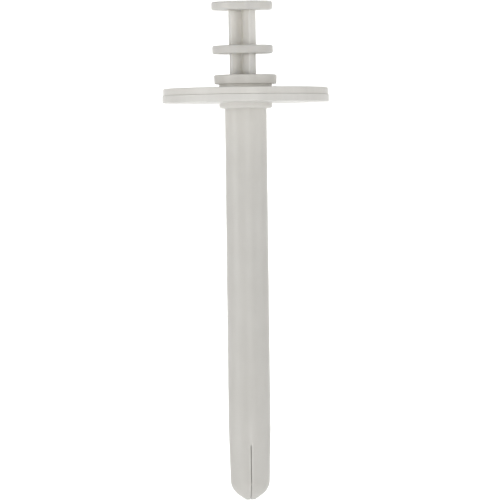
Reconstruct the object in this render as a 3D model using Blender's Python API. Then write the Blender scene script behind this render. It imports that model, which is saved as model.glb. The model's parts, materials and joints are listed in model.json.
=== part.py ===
"""Long-sleeve wall anchor: a flanged sleeve with a split tip, a guide cap and a push-in drive pin.

Frame: +Z runs along the sleeve, out of the wall. The origin is on the sleeve's axis, in the
face of the lower plate that bears on the wall. +X is to the right and -Y is the front, from
which one slit of the tip is turned by TIP_TURN. Lengths below are in millimetres and MM turns
them into metres.
"""

import math

import bmesh
import bpy
from mathutils import Matrix, Vector

MM = 0.001
GAP = 0.3  # clearance between neighbouring pieces
FULL_TURN = 48  # facets round a whole circle
ARC_STEPS = 3  # facets in a small edge rounding
HIDDEN_FACETS = 32  # facets round the parts of the pin that stay inside the sleeve

# Sleeve: lower plate, collar and long tube in one moulding
PLATE_RADIUS = 20.0
PLATE_THICKNESS = 1.75
PLATE_GAP = 0.1  # clearance between the two plates
PLATE_EDGE = 0.3
COLLAR_RADIUS = 6.35
COLLAR_DEPTH = 1.4
COLLAR_EDGE = 0.5
TUBE_RADIUS = 5.0
BORE_RADIUS = 4.2
TAPER_START = -78.6
SLIT_ROOT = -82.2
SOCKET_RADIUS = 5.5
SOCKET_FLOOR = -1.0

# Split tip: four legs that hang from the slit root
SLIT_WIDTH = 0.2
TIP_TURN = 3.5  # degrees from the front to the nearest slit
DOME_START = -90.5
DOME_BASE_RADIUS = 4.7
DOME_RADIUS = 4.4
DOME_WALL = 0.6
DOME_SWEEP = 55.0
DOME_INNER_SWEEP = 66.0
NOSE_PIT = -94.95  # level of the hollow inside the nose, at the axis
TIP_FLAT_RADIUS = 1.15
FLARE_START = -94.75
FLARE_WIDTH = 0.45
FLARE_HEIGHT = 0.9
HINGE_RADIUS = 4.7
DOME_STEPS = 7

# Guide cap: upper plate, neck and rim, with a spigot that sits in the sleeve's socket
CAP_PLATE_RADIUS = 19.8
CAP_PLATE_TOP = 3.5
NECK_RADIUS = 6.35
RIM_BOTTOM = 4.45
RIM_TOP = 6.7
RIM_RADIUS = 7.55
RIM_FOOT_RADIUS = 7.4
RIM_EDGE = 0.4
CAP_BORE_RADIUS = 4.45
SPIGOT_RADIUS = 5.2

# Drive pin: cross-shaped rod with a head, a stop disc, a web and a pusher
ROD_RADIUS = 3.6
ROD_TOP_RADIUS = 3.72
RIB_THICKNESS = 1.0
ROD_TURN = 35.0  # degrees from the slits to the ribs
HEAD_RADIUS = 7.35
HEAD_BOTTOM = 22.2
HEAD_TOP = 24.3
HEAD_FILLET = 0.55
STOP_RADIUS = 7.3
STOP_BOTTOM = 11.7
STOP_TOP = 13.75
DISC_EDGE = 0.45
WEB_RADIUS = 3.4
WEB_LEVEL = -35.5
WEB_THICKNESS = 1.2
PUSHER_RADIUS = 3.4
PUSHER_THICKNESS = 1.0
PUSHER_EDGE = 0.4
PIN_END = -91.8
PIN_LEAN = 0.33  # degrees that the loose pin leans towards -X, about its lower end

# Colours of the natural plastic, linear RGB
SLEEVE_COLOUR = (0.560, 0.548, 0.520, 1.0)
CAP_COLOUR = (0.585, 0.572, 0.542, 1.0)
PIN_COLOUR = (0.578, 0.566, 0.538, 1.0)
PLASTIC_ROUGHNESS = 0.45

LEG_ANGLES = {
    "leg_front_right": -45.0 + TIP_TURN,
    "leg_back_right": 45.0 + TIP_TURN,
    "leg_back_left": 135.0 + TIP_TURN,
    "leg_front_left": -135.0 + TIP_TURN,
}


def clear_scene():
    """Remove every object that the scene starts with."""
    for item in list(bpy.data.objects):
        bpy.data.objects.remove(item, do_unlink=True)


def make_plastic(name, colour):
    """A milky plastic as a Principled material."""
    material = bpy.data.materials.new(name)
    material.use_nodes = True
    shader = material.node_tree.nodes["Principled BSDF"]
    shader.inputs["Base Color"].default_value = colour
    shader.inputs["Roughness"].default_value = PLASTIC_ROUGHNESS
    shader.inputs["Metallic"].default_value = 0.0
    material.diffuse_color = colour
    return material


def arc(centre, radius, start, end, steps):
    """Points on a circle in the profile plane, from one angle to another in degrees."""
    angles = [math.radians(start + (end - start) * i / steps) for i in range(steps + 1)]
    return [
        (centre[0] + radius * math.cos(a), centre[1] + radius * math.sin(a)) for a in angles
    ]


def rounded_edge(radius, level, size, start):
    """A quarter round on a disc's edge. start is 90 for a top edge and 0 for a bottom one."""
    side = -1 if start == 90 else 1
    return arc((radius - size, level + side * size), size, start, start - 90, ARC_STEPS)


def finish_mesh(name, shape):
    """Turn a bmesh in millimetres into a smooth-shaded mesh in metres with faces outwards."""
    bmesh.ops.remove_doubles(shape, verts=shape.verts, dist=0.0001)
    bmesh.ops.recalc_face_normals(shape, faces=shape.faces)
    bmesh.ops.scale(shape, vec=(MM, MM, MM), verts=shape.verts)
    mesh = bpy.data.meshes.new(name)
    shape.to_mesh(mesh)
    shape.free()
    mesh.shade_smooth()
    mesh.set_sharp_from_angle(angle=math.radians(40))
    return mesh


def turned_mesh(name, profile, closed, facets=FULL_TURN):
    """Spin a profile of (radius, level) points round Z.

    A closed profile stands clear of the axis and makes a ring. An open one starts and ends
    on the axis.
    """
    shape = bmesh.new()
    points = [shape.verts.new((radius, 0.0, level)) for radius, level in profile]
    edges = [shape.edges.new(pair) for pair in zip(points, points[1:])]
    if closed:
        edges.append(shape.edges.new((points[-1], points[0])))
    bmesh.ops.spin(
        shape,
        geom=points + edges,
        cent=(0, 0, 0),
        axis=(0, 0, 1),
        angle=math.tau,
        steps=facets,
        use_merge=True,
    )
    return finish_mesh(name, shape)


def add_object(name, mesh, material=None):
    """Put a mesh into the scene under its own name."""
    item = bpy.data.objects.new(name, mesh)
    bpy.context.scene.collection.objects.link(item)
    if material:
        mesh.materials.append(material)
    return item


def add_tool(name, mesh):
    """Put in a shape that only joins or cuts another piece."""
    item = add_object(name, mesh)
    item.hide_render = True
    item.display_type = "WIRE"
    return item


def combine(item, tool, operation):
    """Join or cut a piece with a tool shape."""
    change = item.modifiers.new(tool.name, "BOOLEAN")
    change.operation = operation
    change.solver = "EXACT"
    change.object = tool


def outer_radius(level):
    """The tube's outer radius, which narrows slightly from TAPER_START to the dome."""
    share = (TAPER_START - level) / (TAPER_START - DOME_START)
    return TUBE_RADIUS + (DOME_BASE_RADIUS - TUBE_RADIUS) * max(0.0, min(1.0, share))


def sleeve_profile():
    """Outline of the sleeve's wall, from the socket's mouth outwards and down the tube."""
    tube_end = SLIT_ROOT + GAP / 2
    return [
        (SOCKET_RADIUS, PLATE_THICKNESS),
        *rounded_edge(PLATE_RADIUS, PLATE_THICKNESS, PLATE_EDGE, 90),
        *rounded_edge(PLATE_RADIUS, 0.0, PLATE_EDGE, 0),
        (COLLAR_RADIUS, 0.0),
        *rounded_edge(COLLAR_RADIUS, -COLLAR_DEPTH, COLLAR_EDGE, 0),
        (TUBE_RADIUS, -COLLAR_DEPTH),
        (TUBE_RADIUS, TAPER_START),
        (outer_radius(tube_end), tube_end),
        (BORE_RADIUS, tube_end),
        (BORE_RADIUS, SOCKET_FLOOR),
        (SOCKET_RADIUS, SOCKET_FLOOR),
    ]


def build_sleeve(material):
    """The flanged sleeve that goes into the wall."""
    mesh = turned_mesh("anchor_sleeve", sleeve_profile(), closed=True)
    return add_object("anchor_sleeve", mesh, material)


def cap_profile():
    """Outline of the guide cap's wall, from the bore's mouth outwards and down."""
    plate_bottom = PLATE_THICKNESS + PLATE_GAP
    return [
        (CAP_BORE_RADIUS, RIM_TOP),
        *rounded_edge(RIM_RADIUS, RIM_TOP, RIM_EDGE, 90),
        (RIM_FOOT_RADIUS, RIM_BOTTOM),
        (NECK_RADIUS, RIM_BOTTOM),
        (NECK_RADIUS, CAP_PLATE_TOP),
        *rounded_edge(CAP_PLATE_RADIUS, CAP_PLATE_TOP, PLATE_EDGE, 90),
        *rounded_edge(CAP_PLATE_RADIUS, plate_bottom, PLATE_EDGE, 0),
        (SPIGOT_RADIUS, plate_bottom),
        (SPIGOT_RADIUS, SOCKET_FLOOR + GAP),
        (CAP_BORE_RADIUS, SOCKET_FLOOR + GAP),
    ]


def build_cap(material):
    """The cap that closes the sleeve's mouth and guides the pin."""
    mesh = turned_mesh("guide_cap", cap_profile(), closed=True)
    return add_object("guide_cap", mesh, material)


def tip_profile():
    """Outline of the split tip's wall, up the inside from the axis and down the outside."""
    centre = (DOME_BASE_RADIUS - DOME_RADIUS, DOME_START)
    top = SLIT_ROOT - GAP / 2
    inside = arc(centre, DOME_RADIUS - DOME_WALL, -DOME_INNER_SWEEP, 0, DOME_STEPS)
    outside = arc(centre, DOME_RADIUS, 0, -DOME_SWEEP, DOME_STEPS)
    flank_radius, flank_level = outside[-1]
    flank_slope = 1 / math.tan(math.radians(DOME_SWEEP))
    nose = flank_level - (flank_radius - TIP_FLAT_RADIUS) * flank_slope
    return [
        (0.0, NOSE_PIT),
        *inside,
        (BORE_RADIUS, top),
        (outer_radius(top), top),
        *outside,
        (TIP_FLAT_RADIUS, nose),
        (0.0, nose),
    ]


def quarter_block(name, angle):
    """A block that keeps one quarter of the tip, half a slit away from its neighbours.

    Its inner faces flare apart towards the nose, so that the legs' ends are rounded lobes.
    """
    far = TUBE_RADIUS + 2
    levels = [(SLIT_WIDTH / 2, SLIT_ROOT + 2)]
    for step in range(ARC_STEPS + 1):
        turn = math.radians(90 * step / ARC_STEPS)
        offset = SLIT_WIDTH / 2 + FLARE_WIDTH * (1 - math.cos(turn))
        levels.append((offset, FLARE_START - FLARE_HEIGHT * math.sin(turn)))
    shape = bmesh.new()
    rings = []
    for offset, level in levels:
        corners = [(offset, offset), (far, offset), (far, far), (offset, far)]
        rings.append([shape.verts.new((x, y, level)) for x, y in corners])
    for upper, lower in zip(rings, rings[1:]):
        for side in range(4):
            after = (side + 1) % 4
            shape.faces.new((upper[side], upper[after], lower[after], lower[side]))
    shape.faces.new(rings[0])
    shape.faces.new(rings[-1])
    turn = Matrix.Rotation(math.radians(angle - 45), 3, "Z")
    bmesh.ops.rotate(shape, cent=(0, 0, 0), matrix=turn, verts=shape.verts)
    return add_tool(name, finish_mesh(name, shape))


def build_leg(name, angle, material):
    """One leg of the split tip, with its origin on its living hinge."""
    turn = math.radians(angle)
    across = HINGE_RADIUS * MM
    hinge = Vector((across * math.cos(turn), across * math.sin(turn), SLIT_ROOT * MM))
    mesh = turned_mesh(name, tip_profile(), closed=False)
    mesh.transform(Matrix.Translation(-hinge))
    leg = add_object(name, mesh, material)
    leg.location = hinge
    combine(leg, quarter_block(name + "_quarter", angle), "INTERSECT")
    return leg


def cross_mesh(name, radius, bottom, top):
    """A straight rod whose section is a plus sign."""
    half = RIB_THICKNESS / 2
    arm = [(radius, -half), (radius, half), (half, half)]
    outline = []
    for quarter in range(4):
        turn = Matrix.Rotation(math.radians(90 * quarter), 2)
        outline += [turn @ Vector(corner) for corner in arm]
    shape = bmesh.new()
    base = shape.faces.new([shape.verts.new((x, y, bottom)) for x, y in outline])
    grown = bmesh.ops.extrude_face_region(shape, geom=[base])
    raised = [part for part in grown["geom"] if isinstance(part, bmesh.types.BMVert)]
    bmesh.ops.translate(shape, vec=(0, 0, top - bottom), verts=raised)
    turn = Matrix.Rotation(math.radians(ROD_TURN), 3, "Z")
    bmesh.ops.rotate(shape, cent=(0, 0, 0), matrix=turn, verts=shape.verts)
    return finish_mesh(name, shape)


def disc_profile(radius, bottom, top, edge):
    """Outline of a disc with rounded edges, from the axis outwards and down."""
    return [
        (0.0, top),
        *rounded_edge(radius, top, edge, 90),
        *rounded_edge(radius, bottom, edge, 0),
        (0.0, bottom),
    ]


def head_profile():
    """Outline of the head with the fillet that runs from it into the rod."""
    fillet_centre = (ROD_TOP_RADIUS + HEAD_FILLET, HEAD_BOTTOM - HEAD_FILLET)
    fillet = arc(fillet_centre, HEAD_FILLET, 90, 180, ARC_STEPS)
    disc = disc_profile(HEAD_RADIUS, HEAD_BOTTOM, HEAD_TOP, DISC_EDGE)
    return [*disc[:-1], *fillet, (0.0, fillet[-1][1])]


def pusher_profile():
    """Outline of the disc at the pin's lower end, with a bevel that spreads the legs."""
    top = PIN_END + PUSHER_THICKNESS
    return [
        (0.0, top),
        (PUSHER_RADIUS, top),
        (PUSHER_RADIUS, PIN_END + PUSHER_EDGE),
        (PUSHER_RADIUS - PUSHER_EDGE, PIN_END),
        (0.0, PIN_END),
    ]


def lean(item):
    """Lean a piece of the pin about the middle of the pin's lower end."""
    low_end = Matrix.Translation((0, 0, PIN_END * MM))
    tilt = Matrix.Rotation(math.radians(-PIN_LEAN), 4, "Y")
    item.matrix_world = low_end @ tilt @ low_end.inverted()
    return item


def build_pin(material):
    """The drive pin, joined from its rod, discs and pusher."""
    stop_middle = (STOP_BOTTOM + STOP_TOP) / 2
    rod_end = PIN_END + PUSHER_THICKNESS / 2
    rod = cross_mesh("drive_pin", ROD_RADIUS, rod_end, stop_middle)
    pin = lean(add_object("drive_pin", rod, material))
    web_bottom = WEB_LEVEL - WEB_THICKNESS / 2
    web = disc_profile(WEB_RADIUS, web_bottom, web_bottom + WEB_THICKNESS, DISC_EDGE / 3)
    stop = disc_profile(STOP_RADIUS, STOP_BOTTOM, STOP_TOP, DISC_EDGE)
    head_middle = (HEAD_BOTTOM + HEAD_TOP) / 2
    forms = {
        "pin_upper_rod": cross_mesh("pin_upper_rod", ROD_TOP_RADIUS, stop_middle - 0.5, head_middle),
        "pin_head": turned_mesh("pin_head", head_profile(), False),
        "pin_stop": turned_mesh("pin_stop", stop, False),
        "pin_web": turned_mesh("pin_web", web, False, HIDDEN_FACETS),
        "pin_pusher": turned_mesh("pin_pusher", pusher_profile(), False, HIDDEN_FACETS),
    }
    for name, mesh in forms.items():
        combine(pin, lean(add_tool(name, mesh)), "UNION")
    return pin


def main():
    clear_scene()
    sleeve_plastic = make_plastic("sleeve_plastic", SLEEVE_COLOUR)
    cap_plastic = make_plastic("cap_plastic", CAP_COLOUR)
    pin_plastic = make_plastic("pin_plastic", PIN_COLOUR)
    build_sleeve(sleeve_plastic)
    build_cap(cap_plastic)
    for name, angle in LEG_ANGLES.items():
        build_leg(name, angle, sleeve_plastic)
    build_pin(pin_plastic)


main()
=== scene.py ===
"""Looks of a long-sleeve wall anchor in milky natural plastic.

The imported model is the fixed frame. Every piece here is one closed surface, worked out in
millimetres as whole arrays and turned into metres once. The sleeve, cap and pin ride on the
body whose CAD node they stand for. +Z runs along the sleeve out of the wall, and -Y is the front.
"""

import json
import logging
import math
from dataclasses import dataclass
from enum import Enum

import bpy
import numpy as np
from bpy.types import Material, Node, NodeSocket, NodeTree, Object
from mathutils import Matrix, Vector


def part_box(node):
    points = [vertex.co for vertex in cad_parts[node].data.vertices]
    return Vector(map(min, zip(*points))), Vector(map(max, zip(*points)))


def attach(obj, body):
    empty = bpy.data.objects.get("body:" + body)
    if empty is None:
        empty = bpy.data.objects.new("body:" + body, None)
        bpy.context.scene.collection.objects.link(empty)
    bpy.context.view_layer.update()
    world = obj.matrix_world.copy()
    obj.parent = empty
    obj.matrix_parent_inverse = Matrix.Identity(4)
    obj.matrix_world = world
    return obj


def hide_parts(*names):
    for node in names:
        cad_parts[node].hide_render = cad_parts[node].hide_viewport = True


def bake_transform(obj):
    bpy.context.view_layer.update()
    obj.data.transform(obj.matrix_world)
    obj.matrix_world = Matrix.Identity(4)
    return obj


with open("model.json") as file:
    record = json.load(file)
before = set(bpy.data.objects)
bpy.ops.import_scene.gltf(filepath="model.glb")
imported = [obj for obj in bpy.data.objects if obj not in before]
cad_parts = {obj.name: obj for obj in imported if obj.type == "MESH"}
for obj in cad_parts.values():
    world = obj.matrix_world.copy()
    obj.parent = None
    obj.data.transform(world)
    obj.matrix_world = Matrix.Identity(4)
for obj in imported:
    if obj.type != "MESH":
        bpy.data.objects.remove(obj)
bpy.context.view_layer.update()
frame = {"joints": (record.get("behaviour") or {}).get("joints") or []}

Array = np.ndarray
Two = tuple[float, float]
Three = tuple[float, float, float]
Four = tuple[float, float, float, float]

MM = 0.001
SHARP_ANGLE = math.radians(35)
SAME_PLACE = 1e-4  # distance within which two points of a path are one (mm)
LEAD = 1.25  # distance of the extra point beside an arc, in the arc's reaches
STRAIGHT = 1e-6  # the least turn for which an arc's weights are worked out
TINY = 1e-9
INWARD = -0.3  # a face looks at the Z axis where its cosine with the way out is less
LOG = logging.getLogger("wall_anchor")


class Slot(Enum):
    """The record's material slots."""

    SLEEVE = "sleeve_plastic"
    CAP = "cap_plastic"
    PIN = "pin_plastic"


# ---- outlines and surfaces


def distinct(points: Array, closed: bool) -> Array:
    """Leave out points that lie on the one before them.

    Args:
        points: A path, one row per point.
        closed: Whether the last point is followed by the first.

    Returns:
        The path with each place once.
    """
    step = np.linalg.norm(points - np.roll(points, 1, axis=0), axis=1)
    if not closed:
        step[0] = 1.0
    return points[step > SAME_PLACE]


def rounded_path(corners: Array, steps: int, closed: bool) -> Array:
    """Round every corner of a flat path with a circular arc.

    An arc of radius r that turns by the angle a starts r * tan(a / 2) before its corner and
    ends as far after it. Its points are blends of the two spokes from its centre, with weights
    sin((1 - s) a) / sin(a) and sin(s a) / sin(a), which stay on the circle. One more point
    stands a little way beyond each end, so that smooth shading stays next to the arc.

    Args:
        corners: Rows of two coordinates and the rounding radius of that corner.
        steps: Chords per arc.
        closed: Whether the last corner is joined to the first.

    Returns:
        The rounded path, one row of two coordinates per point.
    """
    places, radii = corners[:, :2], corners[:, 2]
    before = np.roll(places, 1, axis=0) - places
    after = np.roll(places, -1, axis=0) - places
    before /= np.linalg.norm(before, axis=1, keepdims=True)
    after /= np.linalg.norm(after, axis=1, keepdims=True)
    turn = np.pi - np.arccos(np.clip((before * after).sum(axis=1), -1, 1))
    reach = (radii * np.tan(turn / 2))[:, None]
    bisector = before + after
    bisector /= np.maximum(np.linalg.norm(bisector, axis=1, keepdims=True), TINY)
    centres = places + bisector * (radii / np.cos(turn / 2))[:, None]
    start = places + before * reach - centres
    end = places + after * reach - centres
    share = np.linspace(0, 1, steps + 1)[None, :, None]
    angle = np.maximum(turn, STRAIGHT)[:, None, None]
    arcs = np.sin((1 - share) * angle) * start[:, None] + np.sin(share * angle) * end[:, None]
    arcs = centres[:, None] + arcs / np.sin(angle)
    lead = (places + before * reach * LEAD)[:, None]
    trail = (places + after * reach * LEAD)[:, None]
    points = np.concatenate([lead, arcs, trail], axis=1)
    if closed:
        return distinct(points.reshape(-1, 2), True)
    inside = points[1:-1].reshape(-1, 2)
    return distinct(np.concatenate([places[:1], inside, places[-1:]]), False)


def ring_quads(rows: int, columns: int, close_rows: bool) -> Array:
    """Quads of a grid whose columns close into a ring.

    The quad at row i and column j joins (i, j), (i, j + 1), (i + 1, j + 1) and (i + 1, j).

    Args:
        rows: Number of rows.
        columns: Number of columns, the last of which joins the first.
        close_rows: Whether the last row joins the first too.

    Returns:
        One row of four vertex numbers per quad.
    """
    row = np.arange(rows if close_rows else rows - 1)[:, None]
    column = np.arange(columns)[None, :]
    below, beside = (row + 1) % rows, (column + 1) % columns
    corners = (
        row * columns + column,
        row * columns + beside,
        below * columns + beside,
        below * columns + column,
    )
    return np.stack(np.broadcast_arrays(*corners), axis=-1).reshape(-1, 4)


def pole_fan(first: int, columns: int, pole: int, against: bool) -> Array:
    """Triangles from a ring of vertices to one pole vertex.

    Args:
        first: Number of the ring's first vertex.
        columns: Number of vertices in the ring.
        pole: Number of the pole vertex.
        against: Whether the triangles run against the ring.

    Returns:
        One row of three vertex numbers per triangle.
    """
    ring = first + np.arange(columns)
    beside = first + (np.arange(columns) + 1) % columns
    poles = np.full(columns, pole)
    return np.stack([beside, ring, poles] if against else [ring, beside, poles], axis=-1)


def zip_quads(first: int, columns: int, against: bool) -> Array:
    """Quads that close a long, narrow loop by joining each point to the one across from it.

    Point k of the loop lies across from point n - 1 - k, so the quad at k joins k, k + 1,
    n - 2 - k and n - 1 - k.

    Args:
        first: Number of the loop's first vertex.
        columns: Number of vertices in the loop, which is even.
        against: Whether the quads run against the loop.

    Returns:
        One row of four vertex numbers per quad.
    """
    k = np.arange(columns // 2 - 1)
    quads = first + np.stack([k, k + 1, columns - 2 - k, columns - 1 - k], axis=-1)
    return quads[:, ::-1] if against else quads


def enclosed_volume(points: Array, triangles: Array) -> float:
    """Volume inside a closed surface: a sixth of the sum of a . (b x c) over its triangles.

    Args:
        points: Vertex places.
        triangles: Vertex numbers, three per row.

    Returns:
        The volume, which is negative where the faces point inwards.
    """
    a, b, c = (points[triangles[:, corner]] for corner in range(3))
    return float((a * np.cross(b, c)).sum() / 6)


def closed_piece(name: str, points: Array, quads: Array, fans: Array | None = None) -> Object:
    """Put a closed surface into the scene with its faces pointing outwards.

    Args:
        name: The piece's name.
        points: Vertex places in millimetres.
        quads: Vertex numbers of the four-sided faces.
        fans: Vertex numbers of the three-sided faces, if any.

    Returns:
        The new object, at the origin, with its place in its mesh.
    """
    places = points * MM
    fans = np.zeros((0, 3), int) if fans is None else fans
    halves = np.concatenate([quads[:, [0, 1, 2]], quads[:, [0, 2, 3]], fans])
    if enclosed_volume(places, halves) < 0:
        quads, fans = quads[:, ::-1], fans[:, ::-1]
    corners = np.concatenate([quads.ravel(), fans.ravel()]).astype(np.int32)
    sizes = np.concatenate([np.full(len(quads), 4), np.full(len(fans), 3)])
    starts = np.concatenate([[0], np.cumsum(sizes)[:-1]]).astype(np.int32)
    mesh = bpy.data.meshes.new(name)
    mesh.vertices.add(len(places))
    mesh.vertices.foreach_set("co", places.astype(np.float32).ravel())
    mesh.loops.add(len(corners))
    mesh.loops.foreach_set("vertex_index", corners)
    mesh.polygons.add(len(sizes))
    mesh.polygons.foreach_set("loop_start", starts)
    mesh.update(calc_edges=True)
    mesh.validate()
    mesh.shade_smooth()
    mesh.set_sharp_from_angle(angle=SHARP_ANGLE)
    piece = bpy.data.objects.new(name, mesh)
    bpy.context.scene.collection.objects.link(piece)
    return piece


# ---- node groups and finishes


class NodeBoard:
    """A node tree with short calls for adding and joining nodes."""

    def __init__(self, tree: NodeTree) -> None:
        """Keep the tree."""
        self.tree = tree

    def add(self, kind: str, **settings: object) -> Node:
        """Add a node and set its properties.

        Args:
            kind: The node's type name.
            **settings: Values of its properties, by name.

        Returns:
            The new node.
        """
        node = self.tree.nodes.new(kind)
        for name, value in settings.items():
            setattr(node, name, value)
        return node

    def put(self, socket: NodeSocket, value: object) -> None:
        """Set an input, or link it where the value is an output socket.

        Args:
            socket: The input.
            value: A number, a tuple or an output socket.
        """
        if isinstance(value, NodeSocket):
            self.tree.links.new(value, socket)
        else:
            socket.default_value = value

    def fill(self, node: Node, values: dict[str, object]) -> None:
        """Set or link a node's inputs.

        Args:
            node: The node.
            values: Numbers, tuples or output sockets, by the input's name.
        """
        for name, value in values.items():
            self.put(node.inputs[name], value)

    def maths(self, operation: str, first: object, second: object) -> NodeSocket:
        """Add a Math node.

        Args:
            operation: What it does, as Blender names it.
            first: Its first value.
            second: Its second value.

        Returns:
            Its result.
        """
        node = self.add("ShaderNodeMath", operation=operation)
        self.put(node.inputs[0], first)
        self.put(node.inputs[1], second)
        return node.outputs[0]

    def weighted(self, first: object, second: object, share: float) -> NodeSocket:
        """Add two values, of which the second has a share and the first has the rest.

        Args:
            first: The first value.
            second: The second value.
            share: The second value's share.

        Returns:
            The sum.
        """
        rest = self.maths("MULTIPLY", first, 1 - share)
        return self.maths("ADD", rest, self.maths("MULTIPLY", second, share))

    def scaled(self, vector: object, scale: Three) -> NodeSocket:
        """Add a Mapping node that only scales.

        Args:
            vector: What it scales.
            scale: The scale along each axis.

        Returns:
            The scaled vector.
        """
        node = self.add("ShaderNodeMapping")
        self.fill(node, {"Vector": vector, "Scale": scale})
        return node.outputs["Vector"]

    def noise(self, vector: object, scale: object, detail: float) -> NodeSocket:
        """Add a noise texture.

        Args:
            vector: Where it is read.
            scale: Cells per unit of the vector.
            detail: Its number of octaves.

        Returns:
            Its value from 0 to 1.
        """
        node = self.add("ShaderNodeTexNoise", noise_dimensions="3D")
        self.fill(node, {"Vector": vector, "Scale": scale, "Detail": detail})
        return node.outputs["Fac"]

    def eased(self, value: object, span: tuple, result: tuple) -> NodeSocket:
        """Map a value from one span to another, clamped and eased at both ends.

        Args:
            value: The value.
            span: Where it starts and ends.
            result: What those two become.

        Returns:
            The mapped value.
        """
        node = self.add("ShaderNodeMapRange", interpolation_type="SMOOTHSTEP")
        names = ("Value", "From Min", "From Max", "To Min", "To Max")
        self.fill(node, dict(zip(names, (value, *span, *result))))
        return node.outputs["Result"]

    def mixed(self, share: object, first: object, second: object) -> NodeSocket:
        """Mix two colours.

        Args:
            share: How much of the second there is.
            first: The first colour.
            second: The second colour.

        Returns:
            The mixed colour.
        """
        node = self.add("ShaderNodeMix", data_type="RGBA")
        sockets = [socket for socket in node.inputs if socket.enabled]
        for socket, given in zip(sockets, (share, first, second)):
            self.put(socket, given)
        return next(socket for socket in node.outputs if socket.enabled)


@dataclass(frozen=True)
class SharedEffect:
    """A node group's name and sockets, from which its tree is made once."""

    name: str
    inputs: tuple[tuple[str, str, object], ...]
    outputs: tuple[tuple[str, str], ...]

    def start(self) -> tuple[NodeBoard, dict, dict]:
        """Make the tree with its sockets.

        Returns:
            A board on the tree, its given sockets by name and its result sockets by name.
        """
        tree = bpy.data.node_groups.new(self.name, "ShaderNodeTree")
        for label, kind, default in self.inputs:
            kind = "NodeSocket" + kind
            socket = tree.interface.new_socket(label, in_out="INPUT", socket_type=kind)
            if default is not None:
                socket.default_value = default
        for label, kind in self.outputs:
            tree.interface.new_socket(label, in_out="OUTPUT", socket_type="NodeSocket" + kind)
        given = tree.nodes.new("NodeGroupInput").outputs
        results = tree.nodes.new("NodeGroupOutput").inputs
        board = NodeBoard(tree)
        return board, {s.name: s for s in given if s.name}, {s.name: s for s in results if s.name}


def melt_cloud_group() -> NodeTree:
    """Cloudiness of the melt: slow patches, with flow streaks drawn out along Z.

    Returns:
        The group, which mixes two colours.
    """
    effect = SharedEffect(
        "melt_cloud",
        (
            ("Place", "Vector", None),
            ("Clear", "Color", None),
            ("Cloud", "Color", None),
            ("Patch", "Float", 0.12),
            ("Streak", "Float", 0.5),
        ),
        (("Colour", "Color"),),
    )
    board, given, out = effect.start()
    patch = board.noise(given["Place"], given["Patch"], detail=3.0)
    drawn = board.scaled(given["Place"], scale=(1.0, 1.0, 0.1))
    streak = board.noise(drawn, given["Streak"], detail=4.0)
    both = board.weighted(patch, streak, share=0.4)
    mask = board.eased(both, span=(0.36, 0.64), result=(0.0, 1.0))
    board.put(out["Colour"], board.mixed(mask, given["Clear"], given["Cloud"]))
    return board.tree


def moulded_skin_group() -> NodeTree:
    """Skin of a moulding: fine grain, drag lines left along Z, and rubbed patches.

    Returns:
        The group, which puts out a height for a bump and a roughness.
    """
    effect = SharedEffect(
        "moulded_skin",
        (
            ("Place", "Vector", None),
            ("Grain", "Float", None),
            ("Rubbed", "Float", None),
            ("Fresh", "Float", None),
        ),
        (("Height", "Float"), ("Roughness", "Float")),
    )
    board, given, out = effect.start()
    grain = board.noise(given["Place"], given["Grain"], detail=4.0)
    drawn = board.scaled(given["Place"], scale=(2.4, 2.4, 0.05))
    drag = board.noise(drawn, scale=1.0, detail=3.0)
    board.put(out["Height"], board.weighted(grain, drag, share=0.6))
    rub = board.noise(given["Place"], scale=0.3, detail=5.0)
    shade = board.eased(rub, span=(0.35, 0.68), result=(given["Fresh"], given["Rubbed"]))
    board.put(out["Roughness"], shade)
    return board.tree


@dataclass(frozen=True)
class NaturalPlastic:
    """Uncoloured polypropylene: white, cloudy and a little see-through, with a satin skin (mm)."""

    name: str
    clear: Three
    cloud: Three
    cover: float
    glow: float = 0.0
    glow_depth: float = 0.5
    rubbed: float = 0.36
    fresh: float = 0.5
    grain: float = 6.0
    bump: float = 0.25
    bump_depth: float = 0.04
    glow_tint: Three = (1.0, 0.97, 0.9)
    refraction: float = 1.49

    def build(self, cloud: NodeTree, skin: NodeTree) -> Material:
        """Make the material.

        Args:
            cloud: The shared cloudiness of the melt.
            skin: The shared moulded skin.

        Returns:
            The material, whose patterns read the piece's own place in millimetres.
        """
        material = bpy.data.materials.new(self.name)
        material.use_nodes = True
        board = NodeBoard(material.node_tree)
        shader = material.node_tree.nodes["Principled BSDF"]
        place = board.add("ShaderNodeTexCoord").outputs["Object"]
        place = board.scaled(place, (1 / MM, 1 / MM, 1 / MM))
        melt = board.add("ShaderNodeGroup", node_tree=cloud)
        surface = board.add("ShaderNodeGroup", node_tree=skin)
        bump = board.add("ShaderNodeBump")
        tones = {"Place": place, "Clear": (*self.clear, 1.0), "Cloud": (*self.cloud, 1.0)}
        touch = {"Place": place, "Grain": self.grain, "Rubbed": self.rubbed, "Fresh": self.fresh}
        board.fill(melt, tones)
        board.fill(surface, touch)
        board.fill(bump, {"Strength": self.bump, "Distance": self.bump_depth * MM})
        board.put(bump.inputs["Height"], surface.outputs["Height"])
        board.fill(shader, {
            "Base Color": melt.outputs["Colour"],
            "Roughness": surface.outputs["Roughness"],
            "Normal": bump.outputs["Normal"],
            "Subsurface Weight": self.glow,
            "Subsurface Radius": self.glow_tint,
            "Subsurface Scale": self.glow_depth * MM,
            "IOR": self.refraction,
            "Alpha": self.cover,
        })
        material.diffuse_color = (*self.clear, 1.0)
        return material


# ---- pieces


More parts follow.
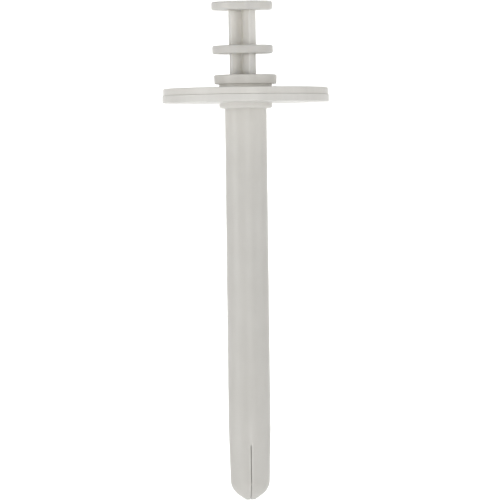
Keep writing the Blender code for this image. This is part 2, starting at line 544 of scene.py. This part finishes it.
@dataclass(frozen=True)
class Dressing:
    """Which CAD node a finished piece stands for, and what the piece is made of."""

    node: str
    slot: Slot
    material: Material
    lining: Material | None = None
    solid: Material | None = None

    def extent(self) -> Array:
        """The CAD node's lowest and highest corners, in millimetres."""
        return np.array([tuple(corner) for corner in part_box(self.node)]) / MM

    def wear(self, piece: Object) -> None:
        """Give the piece its material and the CAD node that it replaces.

        Args:
            piece: The finished piece.
        """
        piece.data.materials.append(self.material)
        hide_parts(self.node)

    def line(self, piece: Object, thick_from: float = math.inf) -> None:
        """Give the lining to faces that look at the Z axis, and the solid finish to thick parts.

        A face at (x, y) with the normal n looks at the axis where n . (x, y) / |(x, y)| is
        below INWARD. A see-through wall has two skins, so the inner one is clearer and lets
        light into the bore, as the milky plastic does. The solid finish covers fully, and its
        lighter tone is painted light.

        Args:
            piece: The finished piece.
            thick_from: Radius from which the piece is thick, in millimetres.
        """
        count = len(piece.data.polygons)
        centre, normal = np.empty(count * 3, np.float32), np.empty(count * 3, np.float32)
        piece.data.polygons.foreach_get("center", centre)
        piece.data.polygons.foreach_get("normal", normal)
        centre, normal = centre.reshape(-1, 3), normal.reshape(-1, 3)
        reach = np.maximum(np.hypot(centre[:, 0], centre[:, 1]), TINY)
        facing = (centre[:, :2] * normal[:, :2]).sum(axis=1) / reach
        skin, lining, solid = range(3)
        outside = np.where(reach > thick_from * MM, solid, skin)
        choice = np.where(facing < INWARD, lining, outside)
        piece.data.materials.append(self.lining)
        if self.solid:
            piece.data.materials.append(self.solid)
        piece.data.polygons.foreach_set("material_index", choice.astype(np.int32))


@dataclass(frozen=True)
class MouldLine:
    """The low ridge that the two halves of a mould leave down both sides of a piece (mm)."""

    height: float = 0.03
    half_turn: float = 0.012
    reach: float = 2.5
    columns: int = 9
    least_gap: float = 1e-3

    def turns(self, even: int) -> Array:
        """Columns for a turned piece: evenly spaced, and closer together at the ridge.

        Args:
            even: Number of evenly spaced columns.

        Returns:
            The turn of each column, in order.
        """
        spaced = np.linspace(0, math.tau, even, endpoint=False)
        close = np.linspace(-self.reach, self.reach, self.columns) * self.half_turn
        turns = np.sort(np.concatenate([spaced, close, close + math.pi]) % math.tau)
        return turns[np.diff(turns, append=turns[0] + math.tau) > self.least_gap]

    def lift(self, turns: Array) -> Array:
        """Height of the ridge at each turn: a bell curve of the distance from the X axis."""
        return self.height * np.exp(-((np.sin(turns) / self.half_turn) ** 2))


@dataclass(frozen=True)
class TurnedShell:
    """A wall turned round Z from a closed profile, with a mould line on part of it."""

    dressing: Dressing
    facets: int = 180
    edge_steps: int = 5

    def turned(
        self, name: str, corners: Array, lined: Three, thick_from: float = math.inf
    ) -> Object:
        """Turn the profile, and dress the piece, which rides on the sleeve's body.

        A point of the profile at radius r and level z, at the turn t, stands at
        ((r + lift(t)) cos t, (r + lift(t)) sin t, z), where the lift is only on the part of
        the profile that is lined.

        Args:
            name: The piece's name.
            corners: Rows of radius, level and rounding.
            lined: The lowest radius, lowest level and highest level of the lined part.
            thick_from: Radius from which the piece is thick.

        Returns:
            The finished piece.
        """
        line = MouldLine()
        profile = rounded_path(corners, self.edge_steps, closed=True)
        turns = line.turns(self.facets)
        inner, low, high = lined
        radius, level = profile[:, :1], profile[:, 1:]
        on = (radius > inner) & (level > low) & (level < high)
        radius = radius + on * line.lift(turns)[None, :]
        level = np.repeat(level, len(turns), axis=1)
        points = np.stack([radius * np.cos(turns), radius * np.sin(turns), level], axis=-1)
        quads = ring_quads(*radius.shape, close_rows=True)
        piece = closed_piece(name, points.reshape(-1, 3), quads)
        self.dressing.wear(piece)
        self.dressing.line(piece, thick_from)
        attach(piece, "sleeve")
        return piece


@dataclass(frozen=True)
class AnchorSleeve(TurnedShell):
    """The sleeve: lower plate, collar and long tube, with the bore through it (mm)."""

    plate_thickness: float = 1.78
    plate_edge: float = 0.15
    seam_edge: float = 0.03
    collar_radius: float = 6.35
    collar_depth: float = 1.4
    collar_edge: float = 0.5
    tube_radius: float = 5.0
    end_radius: float = 4.909
    taper_start: float = -78.6
    slit_root: float = -82.2
    bore_radius: float = 4.2
    socket_radius: float = 5.5
    socket_floor: float = -1.0
    mouth_edge: float = 0.12
    plate_root: float = 0.2
    tube_root: float = 0.18
    taper_blend: float = 30.0
    bore_edge: float = 0.2
    floor_root: float = 0.1
    thick_margin: float = 0.1
    line_margin: float = 0.3
    line_end: float = 1.0

    def corners(self) -> Array:
        """Corners of the wall's profile, from the socket's mouth outwards and down.

        Returns:
            Rows of radius, level and rounding.
        """
        plate = self.dressing.extent()[1, 0]
        return np.array([
            (self.socket_radius, self.plate_thickness, self.mouth_edge),
            (plate, self.plate_thickness, self.seam_edge),
            (plate, 0.0, self.plate_edge),
            (self.collar_radius, 0.0, self.plate_root),
            (self.collar_radius, -self.collar_depth, self.collar_edge),
            (self.tube_radius, -self.collar_depth, self.tube_root),
            (self.tube_radius, self.taper_start, self.taper_blend),
            (self.end_radius, self.slit_root, 0.0),
            (self.bore_radius, self.slit_root, 0.0),
            (self.bore_radius, self.socket_floor, self.bore_edge),
            (self.socket_radius, self.socket_floor, self.floor_root),
        ])

    def build(self) -> Object:
        """Build and dress the sleeve.

        Returns:
            The finished piece.
        """
        margin, low = self.line_margin, self.slit_root + self.line_end
        lined = (self.bore_radius + margin, low, -self.collar_depth - margin)
        thick_from = self.tube_radius + self.thick_margin
        return self.turned("sleeve_shell", self.corners(), lined, thick_from)


@dataclass(frozen=True)
class GuideCap(TurnedShell):
    """The guide cap: upper plate, neck and rim, with a spigot in the sleeve (mm)."""

    bore_radius: float = 4.45
    spigot_radius: float = 5.2
    neck_radius: float = 6.35
    rim_radius: float = 7.55
    rim_foot_radius: float = 7.4
    rim_bottom: float = 4.45
    rim_edge: float = 0.4
    plate_top: float = 3.5
    plate_bottom: float = 1.82
    plate_edge: float = 0.25
    seam_edge: float = 0.03
    bore_edge: float = 0.3
    rim_root: float = 0.15
    neck_root: float = 0.25
    spigot_root: float = 0.1
    spigot_edge: float = 0.15
    line_margin: float = 0.1
    line_reach: float = 2.0

    def corners(self) -> Array:
        """Corners of the wall's profile, from the bore's mouth outwards and down.

        Returns:
            Rows of radius, level and rounding.
        """
        low, high = self.dressing.extent()
        return np.array([
            (self.bore_radius, high[2], self.bore_edge),
            (self.rim_radius, high[2], self.rim_edge),
            (self.rim_foot_radius, self.rim_bottom, self.rim_root),
            (self.neck_radius, self.rim_bottom, self.rim_root),
            (self.neck_radius, self.plate_top, self.neck_root),
            (high[0], self.plate_top, self.plate_edge),
            (high[0], self.plate_bottom, self.seam_edge),
            (self.spigot_radius, self.plate_bottom, self.spigot_root),
            (self.spigot_radius, low[2], self.spigot_edge),
            (self.bore_radius, low[2], self.spigot_edge),
        ])

    def build(self) -> Object:
        """Build and dress the cap.

        Returns:
            The finished piece.
        """
        margin, high = self.line_margin, self.rim_bottom + self.line_reach
        lined = (self.neck_radius - margin, self.rim_bottom - margin, high)
        return self.turned("cap_shell", self.corners(), lined)


@dataclass(frozen=True)
class TipLeg:
    """One leg of the split tip: a quarter of a thin dome that bends at the slit's root (mm)."""

    dressing: Dressing
    body: str
    turn: float
    slit_half: float = 0.08
    slit_root: float = -82.2
    root_radius: float = 4.909
    bore_radius: float = 4.2
    dome_start: float = -90.5
    dome_base: float = 4.7
    dome_radius: float = 4.4
    dome_wall: float = 0.6
    dome_sweep: float = math.radians(55)
    inner_sweep: float = math.radians(66)
    pit: float = -94.95
    flare_start: float = -94.75
    flare_width: float = 0.45
    flare_height: float = 0.9
    edge: float = 0.04
    edge_share: float = 0.25
    closed_reach: float = 0.2
    closed_share: float = 0.25
    bend_length: float = 2.5
    rows: int = 90
    crowding: float = 1.9
    edge_steps: int = 5
    wall_steps: int = 24

    def outer(self, level: Array) -> Array:
        """Outer radius at each level: a slight cone, a circular dome and a straight flank.

        Args:
            level: Levels in millimetres.

        Returns:
            The radius at each level.
        """
        centre = self.dome_base - self.dome_radius
        share = (self.slit_root - level) / (self.slit_root - self.dome_start)
        cone = self.root_radius + (self.dome_base - self.root_radius) * share
        drop = np.clip((self.dome_start - level) / self.dome_radius, 0, 1)
        dome = centre + self.dome_radius * np.sqrt(1 - drop**2)
        flank_level = self.dome_start - self.dome_radius * math.sin(self.dome_sweep)
        flank_radius = centre + self.dome_radius * math.cos(self.dome_sweep)
        flank = flank_radius - (flank_level - level) * math.tan(self.dome_sweep)
        return np.where(level > self.dome_start, cone, np.where(level > flank_level, dome, flank))

    def inner(self, level: Array) -> Array:
        """Inner radius at each level: the bore, a circular dome, and a cone to the nose's pit.

        Args:
            level: Levels in millimetres.

        Returns:
            The radius at each level.
        """
        radius = self.dome_radius - self.dome_wall
        centre = self.dome_base - self.dome_radius
        share = np.clip((self.slit_root - level) / (self.slit_root - self.dome_start), 0, 1)
        bore = self.bore_radius + (centre + radius - self.bore_radius) * share
        drop = np.clip((self.dome_start - level) / radius, 0, 1)
        dome = centre + radius * np.sqrt(1 - drop**2)
        cone_top = self.dome_start - radius * math.sin(self.inner_sweep)
        cone_radius = centre + radius * math.cos(self.inner_sweep)
        cone = cone_radius * np.clip((level - self.pit) / (cone_top - self.pit), 0, 1)
        return np.where(level > self.dome_start, bore, np.where(level > cone_top, dome, cone))

    def half_slit(self, level: Array) -> Array:
        """Half the slit's width at each level, which flares by a quarter ellipse at the nose.

        Args:
            level: Levels in millimetres.

        Returns:
            The distance from the slit's middle plane to the leg's side face.
        """
        drop = np.clip((self.flare_start - level) / self.flare_height, 0, 1)
        return self.slit_half + self.flare_width * (1 - np.sqrt(1 - drop**2))

    def levels(self) -> Array:
        """Levels of the sections, closer together towards the nose.

        Returns:
            The levels, from the slit's root down to the CAD leg's lowest one.
        """
        share = 1 - (1 - np.linspace(0, 1, self.rows)) ** self.crowding
        return self.slit_root + (self.dressing.extent()[0, 2] - self.slit_root) * share

    def sections(self, level: Array) -> Array:
        """Level sections of the leg, each one loop round its wall, for the quarter x, y > 0.

        With half slit o and edge rounding e, the outer edge's centre stands at y = o + e on
        the circle R - e, and the inner edge's at y = o + e on the circle r + e, or close to
        (o + e, o + e) where the bore has closed. The loop runs round the outer edge, along the
        outer wall and round its far edge, and comes back inside in the same way.

        Args:
            level: The levels, in millimetres.

        Returns:
            An array of level, loop point, and x and y.
        """
        outer, inner, half = self.outer(level), self.inner(level), self.half_slit(level)
        room = (outer - math.sqrt(2) * half) * self.edge_share
        edge = np.minimum(self.edge, room)
        line = half + edge
        out_x = np.sqrt(np.maximum((outer - edge) ** 2 - line**2, line**2))
        closed_x = line + np.minimum(self.closed_reach, self.closed_share * (out_x - line))
        in_x = np.sqrt(np.maximum((inner + edge) ** 2 - line**2, closed_x**2))
        edge, line, out_x, in_x = (value[:, None] for value in (edge, line, out_x, in_x))
        out_turn, in_turn = np.arctan2(line, out_x), np.arctan2(line, in_x)
        step = np.linspace(0, 1, self.edge_steps)[None, :]
        along = np.linspace(0, 1, self.wall_steps)[None, 1:-1]
        quarter = math.pi / 2
        out_angle = (out_turn + quarter) * step - quarter
        in_angle = in_turn + math.pi + (quarter - in_turn) * step
        out_edge = self.polar(out_x, line, edge, out_angle)
        in_edge = self.polar(in_x, line, edge, in_angle)
        out_span = out_turn + (quarter - 2 * out_turn) * along
        in_span = in_turn + (quarter - 2 * in_turn) * along
        out_wall = self.polar(0, 0, np.hypot(out_x, line) + edge, out_span)
        in_wall = self.polar(0, 0, np.hypot(in_x, line) - edge, in_span)
        loop = (
            out_edge,
            out_wall,
            out_edge[:, ::-1, ::-1],
            in_edge[:, ::-1, ::-1],
            in_wall[:, ::-1],
            in_edge,
        )
        return np.concatenate(loop, axis=1)

    @staticmethod
    def polar(x: Array, y: Array, radius: Array, angle: Array) -> Array:
        """Points at a distance and an angle from a centre, as x and y in a last axis."""
        return np.stack([x + radius * np.cos(angle), y + radius * np.sin(angle)], axis=-1)

    def build(self) -> Object:
        """Build the leg and dress it.

        Returns:
            The finished piece.
        """
        level = self.levels()
        section = self.sections(level)
        rows, columns = section.shape[:2]
        angle = math.radians(self.turn - 45)
        x = section[..., 0] * math.cos(angle) - section[..., 1] * math.sin(angle)
        y = section[..., 0] * math.sin(angle) + section[..., 1] * math.cos(angle)
        z = np.repeat(level[:, None], columns, axis=1)
        points = np.stack([x, y, z], axis=-1).reshape(-1, 3)
        quads = np.concatenate([
            ring_quads(rows, columns, close_rows=False),
            zip_quads(0, columns, against=True),
            zip_quads((rows - 1) * columns, columns, against=False),
        ])
        piece = closed_piece(self.dressing.node + "_shell", points, quads)
        self.dressing.wear(piece)
        self.dressing.line(piece)
        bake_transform(piece)
        return piece


@dataclass(frozen=True)
class DrivePin:
    """The drive pin: ribbed rod, head, stop disc, web and pusher in one moulding (mm)."""

    dressing: Dressing
    slide_axis: Three
    rod_radius: float = 3.6
    upper_growth: float = 3.72 / 3.6
    rib: float = 1.0
    rib_edge: float = 0.14
    rib_root: float = 0.3
    rib_steps: int = 4
    side_degrees: Two = (10.5, 30.0)
    side_points: int = 8
    tip_points: int = 4
    least_gap: float = 2e-3
    rod_turn: float = math.radians(35)
    rod_start: float = 0.5
    rod_full: float = 0.56
    growth_levels: Two = (12.4, 12.9)
    core: float = 0.4
    fillet: float = 0.55
    head_radius: float = 7.35
    head_bottom: float = 22.2
    head_top: float = 24.3
    head_sink: float = 0.5
    dish_radius: float = 2.0
    dish_floor_radius: float = 1.6
    dish_edge: float = 0.25
    dish_depth: float = 0.2
    gate_radius: float = 0.6
    gate_top_radius: float = 0.52
    gate_drop: float = 0.06
    gate_root: float = 0.05
    gate_edge: float = 0.04
    stop_radius: float = 7.3
    stop_bottom: float = 11.7
    stop_top: float = 13.75
    disc_edge: float = 0.45
    disc_root: float = 0.15
    disc_steps: int = 5
    web_radius: float = 3.4
    web_level: float = -35.5
    web_thickness: float = 1.2
    web_edge: float = 0.15
    web_root: float = 0.25
    pusher_radius: float = 3.4
    pusher_thickness: float = 1.0
    pusher_edge: float = 0.4
    pusher_blend: float = 0.06
    pusher_top_edge: float = 0.1
    pusher_root: float = 0.2
    end: float = -91.8
    pole_radii: Two = (0.15, 0.1)
    joint_width: float = 0.12
    joint_share: float = 0.3

    def outline(self) -> Array:
        """The rod's section: a plus sign with rounded rib edges and rib roots.

        Each rib's two sides have extra points at even turns about the axis, and so has its
        end, so that a disc made with the same columns is round.

        Returns:
            Rows of x and y, in order of turn.
        """
        half = self.rib / 2
        arm = np.array([
            (self.rod_radius, -half, self.rib_edge),
            (self.rod_radius, half, self.rib_edge),
            (half, half, self.rib_root),
        ])
        count = self.side_points
        side = half / np.tan(np.radians(np.linspace(*self.side_degrees, count)))
        flat = half - self.rib_edge
        tip = np.linspace(-flat, flat, self.tip_points + 2)[1:-1]
        extra_x = np.concatenate([side, side, np.full(self.tip_points, self.rod_radius)])
        extra_y = np.concatenate([np.repeat([half, -half], count), tip])
        extra = np.stack([extra_x, extra_y], axis=-1)
        spins = [self.spin(quarter * math.pi / 2) for quarter in range(4)]
        corners = np.concatenate([np.hstack([arm[:, :2] @ s, arm[:, 2:]]) for s in spins])
        rounded = rounded_path(corners, self.rib_steps, closed=True)
        points = np.concatenate([rounded, *[extra @ s for s in spins]])
        turns = np.arctan2(points[:, 1], points[:, 0])
        order = np.argsort(turns)
        gap = np.diff(turns[order], append=turns[order[0]] + math.tau)
        return points[order][gap > self.least_gap]

    @staticmethod
    def spin(angle: float) -> Array:
        """The matrix that turns rows of x and y by an angle when they are multiplied by it."""
        cos, sin = math.cos(angle), math.sin(angle)
        return np.array([[cos, sin], [-sin, cos]])

    def path(self) -> Array:
        """The discs' profile up the pin, from its lower pole to its upper one.

        Along the rod the profile keeps to a core inside it. The head ends in a shallow dish
        with the gate's stub in its middle.

        Returns:
            Rows of disc radius and level.
        """
        web_bottom = self.web_level - self.web_thickness / 2
        web_top = self.web_level + self.web_thickness / 2
        pusher_top = self.end + self.pusher_thickness
        dish = self.head_top - self.dish_depth
        gate = self.head_top - self.gate_drop
        corners = np.array([
            (self.pole_radii[0], self.end, 0.0),
            (self.pusher_radius - self.pusher_edge, self.end, self.pusher_blend),
            (self.pusher_radius, self.end + self.pusher_edge, self.pusher_blend),
            (self.pusher_radius, self.end + self.rod_start, 0.0),
            (self.pusher_radius, self.end + self.rod_full, 0.0),
            (self.pusher_radius, pusher_top, self.pusher_top_edge),
            (self.core, pusher_top, self.pusher_root),
            (self.core, web_bottom, self.web_root),
            (self.web_radius, web_bottom, self.web_edge),
            (self.web_radius, web_top, self.web_edge),
            (self.core, web_top, self.web_root),
            (self.core, self.stop_bottom, self.disc_root),
            (self.stop_radius, self.stop_bottom, self.disc_edge),
            (self.stop_radius, self.stop_top, self.disc_edge),
            (self.core, self.stop_top, self.disc_root),
            (self.core, self.head_bottom, self.fillet),
            (self.head_radius, self.head_bottom, self.disc_edge),
            (self.head_radius, self.head_top, self.disc_edge),
            (self.dish_radius, self.head_top, self.dish_edge),
            (self.dish_floor_radius, dish, self.disc_root),
            (self.gate_radius, dish, self.gate_root),
            (self.gate_top_radius, gate, self.gate_edge),
            (self.pole_radii[1], gate, 0.0),
        ])
        return rounded_path(corners, self.disc_steps, closed=False)

    def rod_share(self, level: Array) -> Array:
        """Size of the rod's section: nothing at both ends, and a little more above the stop.

        Args:
            level: Levels in millimetres.

        Returns:
            The share of the section's own size at each level.
        """
        foot = (self.end + self.rod_start, self.end + self.rod_full)
        top = (self.head_bottom + self.head_sink, self.head_top - self.head_sink)
        shares = (0.0, 1.0, 1.0, self.upper_growth, self.upper_growth, 0.0)
        return np.interp(level, [*foot, *self.growth_levels, *top], shares)

    def build(self) -> Object:
        """Build and dress the pin.

        At a level where the disc's radius is f and the rod's section at that turn is s away
        from the axis, the surface is at r = (s + f + sqrt((s - f)^2 + w^2)) / 2, less
        w^2 / (4 r): close to the larger of the two, with a fillet of width w where they meet.
        The pin then leans about its lower end until it lies along its slide.

        Returns:
            The finished piece.
        """
        outline = self.outline()
        turns = np.arctan2(outline[:, 1], outline[:, 0]) + self.rod_turn
        path = self.path()
        disc, level = path[:, :1], path[:, 1:]
        rod = np.hypot(outline[:, 0], outline[:, 1])[None, :] * self.rod_share(level)
        under_head = [self.head_bottom - self.fillet, self.head_bottom]
        spread = np.interp(level, under_head, [self.joint_width, self.fillet])
        width = np.minimum(spread, disc * self.joint_share)
        radius = (rod + disc + np.sqrt((rod - disc) ** 2 + width**2)) / 2
        radius -= width**2 / (4 * np.maximum(radius, min(self.pole_radii)))
        z = np.repeat(level, len(turns), axis=1)
        rings = np.stack([radius * np.cos(turns), radius * np.sin(turns), z], axis=-1)
        rows, columns = radius.shape
        poles = np.array([(0, 0, level[0, 0]), (0, 0, level[-1, 0])])
        points = self.lean(np.concatenate([rings.reshape(-1, 3), poles]))
        fans = np.concatenate([
            pole_fan(0, columns, rows * columns, against=True),
            pole_fan((rows - 1) * columns, columns, rows * columns + 1, against=False),
        ])
        piece = closed_piece("pin_body", points, ring_quads(rows, columns, False), fans)
        self.dressing.wear(piece)
        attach(piece, "pin")
        return piece

    def lean(self, points: Array) -> Array:
        """Turn points about the pin's lower end until the pin lies along its slide.

        Args:
            points: Places in millimetres, with the pin upright.

        Returns:
            The leaning points.
        """
        angle = math.atan2(self.slide_axis[0], -self.slide_axis[2])
        cos, sin = math.cos(angle), math.sin(angle)
        turn = np.array([[cos, 0, -sin], [0, 1, 0], [sin, 0, cos]])
        middle = np.array([0, 0, self.end])
        return (points - middle) @ turn.T + middle


# ---- studio


@dataclass(frozen=True)
class SoftLight:
    """A square soft light, aimed at the anchor's middle by default (metres, watts)."""

    name: str
    place: Three
    size: float
    power: float
    aim: Three = (0.0, 0.0, -0.035)

    def build(self) -> None:
        """Add the light."""
        data = bpy.data.lights.new(self.name, "AREA")
        data.shape = "SQUARE"
        data.size = self.size
        data.energy = self.power
        lamp = bpy.data.objects.new(self.name, data)
        bpy.context.scene.collection.objects.link(lamp)
        lamp.location = self.place
        facing = Vector(self.aim) - Vector(self.place)
        lamp.rotation_euler = facing.to_track_quat("-Z", "Y").to_euler()


@dataclass(frozen=True)
class Studio:
    """A pale sweep, soft lights and a level, distant camera (metres)."""

    floor_level: float = -0.32
    wall_distance: float = 0.9
    half_width: float = 1.6
    front_reach: float = 2.6
    wall_height: float = 2.2
    bend_radius: float = 0.6
    bend_steps: int = 24
    across_steps: int = 7
    pale: Four = (0.93, 0.93, 0.93, 1.0)
    paler: Four = (0.95, 0.95, 0.95, 1.0)
    paper_roughness: float = 0.9
    air: float = 0.3
    camera_distance: float = 2.0
    view_height: float = 0.12
    aim: Three = (0.0006, 0.0, -0.0354)
    camera_roll: float = math.radians(0.7)
    sensor_width: float = 36.0
    sight: float = 20.0
    lights: tuple[SoftLight, ...] = (
        SoftLight("left_light", (-1.2, -0.6, 0.0), 0.6, 5.6),
        SoftLight("right_light", (1.2, -0.6, 0.0), 0.6, 3.8),
        SoftLight("front_light", (0.3, -2.2, -0.04), 0.5, 9.5),
        SoftLight("top_light", (0.0, -0.2, 1.2), 1.0, 1.2),
        SoftLight("sweep_light", (0.0, 0.3, 0.3), 1.0, 5.5, (0.0, 0.9, -0.035)),
    )

    def build(self) -> None:
        """Build the sweep, the lights, the air and the camera."""
        self.build_sweep()
        for light in self.lights:
            light.build()
        world = bpy.data.worlds.new("studio_air")
        world.use_nodes = True
        background = world.node_tree.nodes["Background"]
        background.inputs["Color"].default_value = (1.0, 1.0, 1.0, 1.0)
        background.inputs["Strength"].default_value = self.air
        bpy.context.scene.world = world
        bpy.context.scene.view_settings.view_transform = "Standard"
        self.build_camera()

    def build_sweep(self) -> None:
        """Build the floor that bends up into the wall behind.

        Its path is flat, then a quarter circle of points (R sin t, R (1 - cos t)), then
        upright, and it is carried straight along X.
        """
        bend = np.linspace(0, math.pi / 2, self.bend_steps)
        back = self.wall_distance
        curve = back - self.bend_radius + self.bend_radius * np.sin(bend)
        path_y = np.concatenate([[-self.front_reach], curve, [back]])
        rise = self.bend_radius * (1 - np.cos(bend))
        path_z = np.concatenate([[0.0], rise, [self.wall_height]]) + self.floor_level
        across = np.linspace(-self.half_width, self.half_width, self.across_steps)
        x, y = np.meshgrid(across, path_y)
        z = np.repeat(path_z[:, None], len(across), axis=1)
        rows, columns = x.shape
        first = (np.arange(rows - 1)[:, None] * columns + np.arange(columns - 1)).ravel()
        faces = np.stack([first, first + 1, first + columns + 1, first + columns], axis=-1)
        mesh = bpy.data.meshes.new("sweep")
        mesh.from_pydata(np.stack([x, y, z], axis=-1).reshape(-1, 3).tolist(), [], faces.tolist())
        mesh.shade_smooth()
        mesh.materials.append(self.paper())
        sweep = bpy.data.objects.new("sweep", mesh)
        bpy.context.scene.collection.objects.link(sweep)

    def paper(self) -> Material:
        """Matt pale paper with a slow, very faint change of tone, clear from behind.

        Returns:
            The material.
        """
        material = bpy.data.materials.new("sweep_paper")
        material.use_nodes = True
        board = NodeBoard(material.node_tree)
        place = board.add("ShaderNodeTexCoord").outputs["Object"]
        shader = material.node_tree.nodes["Principled BSDF"]
        tone = board.mixed(board.noise(place, scale=1.2, detail=2.0), self.pale, self.paler)
        board.put(shader.inputs["Base Color"], tone)
        behind = board.add("ShaderNodeNewGeometry").outputs["Backfacing"]
        cover = board.maths("SUBTRACT", 1.0, behind)
        board.fill(shader, {"Roughness": self.paper_roughness, "Alpha": cover})
        return material

    def build_camera(self) -> None:
        """Add the camera, level with the anchor's middle, far in front and slightly rolled."""
        data = bpy.data.cameras.new("camera")
        data.sensor_width = self.sensor_width
        data.lens = self.sensor_width * self.camera_distance / self.view_height
        data.clip_end = self.sight
        camera = bpy.data.objects.new("camera", data)
        bpy.context.scene.collection.objects.link(camera)
        camera.location = (self.aim[0], self.aim[1] - self.camera_distance, self.aim[2])
        camera.rotation_euler = (math.pi / 2, self.camera_roll, 0.0)
        bpy.context.scene.camera = camera


# ---- main


TIP_TURN = 3.5  # degrees from the front to the nearest slit, towards +X
LEGS = {
    "leg_front_right": TIP_TURN - 45.0,
    "leg_back_right": TIP_TURN + 45.0,
    "leg_back_left": TIP_TURN + 135.0,
    "leg_front_left": TIP_TURN - 135.0,
}


def slide_axis(name: str) -> Three:
    """The direction of a joint in the frame."""
    return next(tuple(joint["axis"]) for joint in frame["joints"] if joint["name"] == name)


def main() -> None:
    """Build the studio and every piece, and report each piece."""
    logging.basicConfig(level=logging.INFO, format="%(name)s: %(message)s")
    Studio().build()
    cloud, skin = melt_cloud_group(), moulded_skin_group()
    sleeve = NaturalPlastic("sleeve_natural", (0.75, 0.733, 0.69), (0.72, 0.703, 0.66), 0.87)
    # The flange is the sleeve's plastic with full cover and a lighter tone. The lighter tone is
    # painted light: it stands for the plates looking paler where light passes through their thin
    # edges.
    flange_lit = NaturalPlastic("flange_natural_lit", (0.785, 0.77, 0.73), (0.755, 0.74, 0.70), 0.99)
    lining = NaturalPlastic("bore_natural", (0.80, 0.78, 0.74), (0.76, 0.74, 0.70), 0.25)
    cap = NaturalPlastic("cap_natural", (0.80, 0.78, 0.735), (0.76, 0.74, 0.696), 0.99)
    pin = NaturalPlastic(
        "pin_natural", (0.715, 0.70, 0.665), (0.68, 0.664, 0.63), 0.97, glow=1.0, glow_depth=3.0
    )
    finishes = (sleeve, lining, flange_lit, cap, pin)
    sleeve, lining, flange_lit, cap, pin = (finish.build(cloud, skin) for finish in finishes)
    axis = slide_axis("pin_slide")
    parts = [
        AnchorSleeve(Dressing("anchor_sleeve", Slot.SLEEVE, sleeve, lining, flange_lit)),
        GuideCap(Dressing("guide_cap", Slot.CAP, cap, lining)),
        DrivePin(Dressing("drive_pin", Slot.PIN, pin), axis),
    ]
    for name, turn in LEGS.items():
        parts.append(TipLeg(Dressing(name, Slot.SLEEVE, sleeve, lining), name + "_body", turn))
    for part in parts:
        piece = part.build()
        faces = len(piece.data.polygons)
        LOG.info("%s: %d faces, stands for %s", piece.name, faces, part.dressing.node)


if __name__ == "__main__":
    main()
